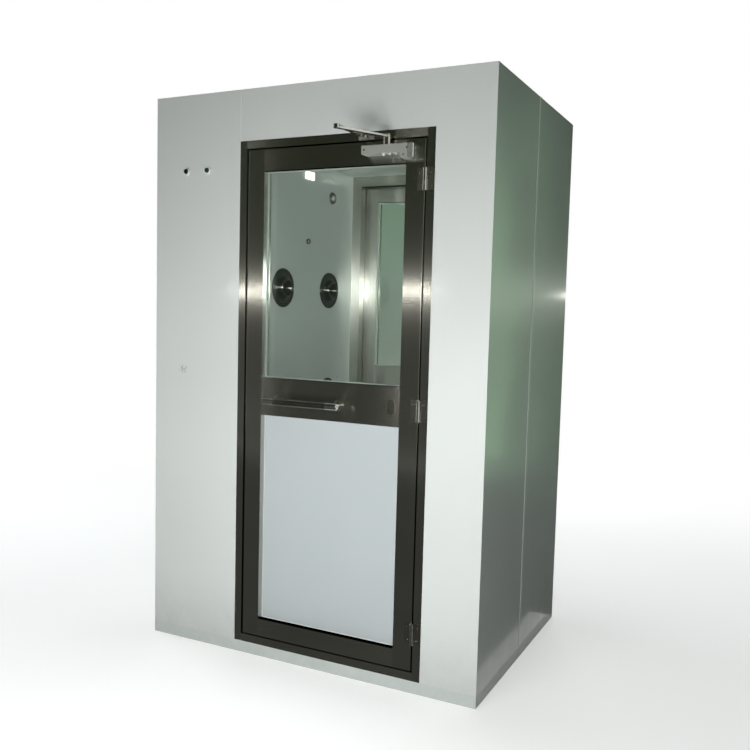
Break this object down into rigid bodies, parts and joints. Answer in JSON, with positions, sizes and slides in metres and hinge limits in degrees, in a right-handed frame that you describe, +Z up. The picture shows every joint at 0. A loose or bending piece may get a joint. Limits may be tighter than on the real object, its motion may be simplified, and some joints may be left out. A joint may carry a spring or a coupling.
{
  "type": "cleanroom air shower",
  "caption": "Cleanroom air shower cabin: hollow panelled chamber with a glazed steel door at the front and back, door closers and adjustable air nozzles in one wall.",
  "frame": {"origin": "centre of the cabinet's underside, on the floor", "axes": "+Z up, the front door with the pilot lamps beside it faces -Y, +X to the right of someone who faces that door"},
  "size_m": [1.403, 1.452, 2.15],
  "materials": {
    "painted_panel": "cool white powder coat, satin",
    "joint_strip": "light grey coated strip, satin",
    "base_paint": "cool white powder coat, satin",
    "stainless_frame": "satin stainless steel, vertical grain",
    "chamber_steel": "smooth grey-green lining sheet",
    "floor_steel": "satin stainless sheet",
    "door_infill": "pale grey coated panel, satin",
    "clear_glass": "clear float glass, slightly green",
    "bright_steel": "polished stainless steel",
    "closer_paint": "silver lacquer, satin",
    "nozzle_metal": "dark polished metal",
    "grille_steel": "satin stainless louvres",
    "lamp_left_plastic": "unlit dark lens in a bright bezel",
    "lamp_right_plastic": "unlit green lens in a bright bezel",
    "sensor_plastic": "black moulded plastic",
    "light_cover": "white lamp cover"
  },
  "bodies": {
    "cabinet": {"base_plinth": "base_paint", "roof_panel": "painted_panel", "front_left_panel": "painted_panel", "front_right_panel": "painted_panel", "front_header_panel": "painted_panel", "back_left_panel": "painted_panel", "back_right_panel": "painted_panel", "back_header_panel": "painted_panel", "left_side_panels": "painted_panel", "right_side_panels": "painted_panel", "left_joint_strip": "joint_strip", "right_joint_strip": "joint_strip", "chamber_left_wall": "chamber_steel", "chamber_right_wall": "chamber_steel", "chamber_ceiling": "chamber_steel", "floor_sheet": "floor_steel", "nozzle_rings": "nozzle_metal", "return_air_grilles": "grille_steel", "pilot_lamp_left": "lamp_left_plastic", "pilot_lamp_right": "lamp_right_plastic", "presence_sensor": "sensor_plastic", "wall_light": "light_cover", "front_door_frame": "stainless_frame", "back_door_frame": "stainless_frame", "frame_hinge_halves": "bright_steel", "closer_shoes": "closer_paint"},
    "front_door": {"front_door_leaf": "stainless_frame", "front_door_glass": "clear_glass", "front_door_lower_panel": "door_infill", "front_door_handle": "bright_steel", "front_door_lock": "bright_steel", "front_door_hinge_halves": "bright_steel", "front_closer_body": "closer_paint"},
    "front_closer_main_arm": {"front_closer_main_arm": "closer_paint"},
    "front_closer_forearm": {"front_closer_forearm": "closer_paint"},
    "back_door": {"back_door_leaf": "stainless_frame", "back_door_glass": "clear_glass", "back_door_lower_panel": "door_infill", "back_door_handle": "bright_steel", "back_door_lock": "bright_steel", "back_door_hinge_halves": "bright_steel", "back_closer_body": "closer_paint"},
    "back_closer_main_arm": {"back_closer_main_arm": "closer_paint"},
    "back_closer_forearm": {"back_closer_forearm": "closer_paint"},
    "nozzle_ball_1": {"nozzle_ball_1": "nozzle_metal"},
    "nozzle_ball_2": {"nozzle_ball_2": "nozzle_metal"},
    "nozzle_ball_3": {"nozzle_ball_3": "nozzle_metal"},
    "nozzle_ball_4": {"nozzle_ball_4": "nozzle_metal"},
    "nozzle_ball_5": {"nozzle_ball_5": "nozzle_metal"},
    "nozzle_ball_6": {"nozzle_ball_6": "nozzle_metal"}
  },
  "joints": [
    {"name": "front_door_hinge", "type": "hinge", "parent": "cabinet", "child": "front_door", "pos_m": [0.457, -0.5073, 0], "axis": [0, 0, 1], "range_deg": [0, 90], "stiffness_Nm_per_rad": 3},
    {"name": "front_closer_spindle", "type": "hinge", "parent": "front_door", "child": "front_closer_main_arm", "pos_m": [0.322, -0.525, 0], "axis": [0, 0, 1], "range_deg": [-136, 0]},
    {"name": "front_closer_elbow", "type": "hinge", "parent": "front_closer_main_arm", "child": "front_closer_forearm", "pos_m": [0.23023, -0.715, 0], "axis": [0, 0, 1], "range_deg": [0, 60]},
    {"name": "back_door_hinge", "type": "hinge", "parent": "cabinet", "child": "back_door", "pos_m": [-0.267, 0.5073, 0], "axis": [0, 0, 1], "range_deg": [0, 90], "stiffness_Nm_per_rad": 3},
    {"name": "back_closer_spindle", "type": "hinge", "parent": "back_door", "child": "back_closer_main_arm", "pos_m": [-0.132, 0.525, 0], "axis": [0, 0, 1], "range_deg": [-136, 0]},
    {"name": "back_closer_elbow", "type": "hinge", "parent": "back_closer_main_arm", "child": "back_closer_forearm", "pos_m": [-0.04023, 0.715, 0], "axis": [0, 0, 1], "range_deg": [0, 60]},
    {"name": "nozzle_1_tilt", "type": "hinge", "parent": "cabinet", "child": "nozzle_ball_1", "pos_m": [-0.32, -0.19, 1.425], "axis": [0, 1, 0], "range_deg": [-25, 25]},
    {"name": "nozzle_2_tilt", "type": "hinge", "parent": "cabinet", "child": "nozzle_ball_2", "pos_m": [-0.32, 0.19, 1.425], "axis": [0, 1, 0], "range_deg": [-25, 25]},
    {"name": "nozzle_3_tilt", "type": "hinge", "parent": "cabinet", "child": "nozzle_ball_3", "pos_m": [-0.32, -0.19, 0.95], "axis": [0, 1, 0], "range_deg": [-25, 25]},
    {"name": "nozzle_4_tilt", "type": "hinge", "parent": "cabinet", "child": "nozzle_ball_4", "pos_m": [-0.32, 0.19, 0.95], "axis": [0, 1, 0], "range_deg": [-25, 25]},
    {"name": "nozzle_5_tilt", "type": "hinge", "parent": "cabinet", "child": "nozzle_ball_5", "pos_m": [-0.32, -0.19, 0.475], "axis": [0, 1, 0], "range_deg": [-25, 25]},
    {"name": "nozzle_6_tilt", "type": "hinge", "parent": "cabinet", "child": "nozzle_ball_6", "pos_m": [-0.32, 0.19, 0.475], "axis": [0, 1, 0], "range_deg": [-25, 25]}
  ],
  "couplings": [
    {"joint": "front_closer_spindle", "follows": "front_door_hinge", "ratio": -1.5063},
    {"joint": "front_closer_elbow", "follows": "front_door_hinge", "ratio": 0.65306},
    {"joint": "back_closer_spindle", "follows": "back_door_hinge", "ratio": -1.5063},
    {"joint": "back_closer_elbow", "follows": "back_door_hinge", "ratio": 0.65306}
  ]
}
